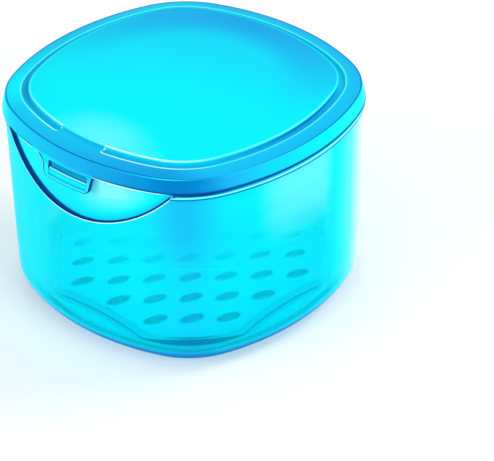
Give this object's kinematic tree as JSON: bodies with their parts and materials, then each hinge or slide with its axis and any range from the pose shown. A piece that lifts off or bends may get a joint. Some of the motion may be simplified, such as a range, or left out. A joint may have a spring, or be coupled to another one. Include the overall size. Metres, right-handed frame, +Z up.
{
  "type": "denture case",
  "caption": "Square soaking cup with rounded corners, hinged snap lid with a front latch tab, and a lift-out strainer basket.",
  "frame": {"origin": "middle of the cup's flat underside", "axes": "+Z up; the latch tab and finger scoop face -Y; the hinge runs along X behind the case at +Y"},
  "size_m": [0.095, 0.1014, 0.0657],
  "materials": {
    "cup_plastic": "glossy, translucent cyan polypropylene",
    "lid_plastic": "glossy, translucent cyan-blue polypropylene",
    "tab_plastic": "glossy, translucent cyan-blue polypropylene",
    "pin_steel": "ground stainless rod",
    "seal_silicone": "soft translucent silicone",
    "basket_plastic": "glossy, translucent cyan polypropylene"
  },
  "bodies": {
    "cup": {"case_body": "cup_plastic", "hinge_pin": "pin_steel"},
    "lid_body": {"lid": "lid_plastic", "lid_seal": "seal_silicone"},
    "tab": {"latch_tab": "tab_plastic"},
    "basket": {"strainer_basket": "basket_plastic"}
  },
  "joints": [
    {"name": "lid_hinge", "type": "hinge", "parent": "cup", "child": "lid_body", "pos_m": [0, 0.0505, 0.0522], "axis": [-1, 0, 0], "range_deg": [0, 120]},
    {"name": "latch_flex", "type": "hinge", "parent": "lid_body", "child": "tab", "pos_m": [0, -0.0475, 0.05815], "axis": [-1, 0, 0], "range_deg": [0, 9], "stiffness_Nm_per_rad": 0.05},
    {"name": "basket_lift", "type": "slide", "parent": "cup", "child": "basket", "axis": [0, 0, 1], "range_m": [0, 0.036]}
  ],
  "couplings": [
    {"joint": "basket_lift", "follows": "lid_hinge", "m_per_rad": 0.017}
  ]
}
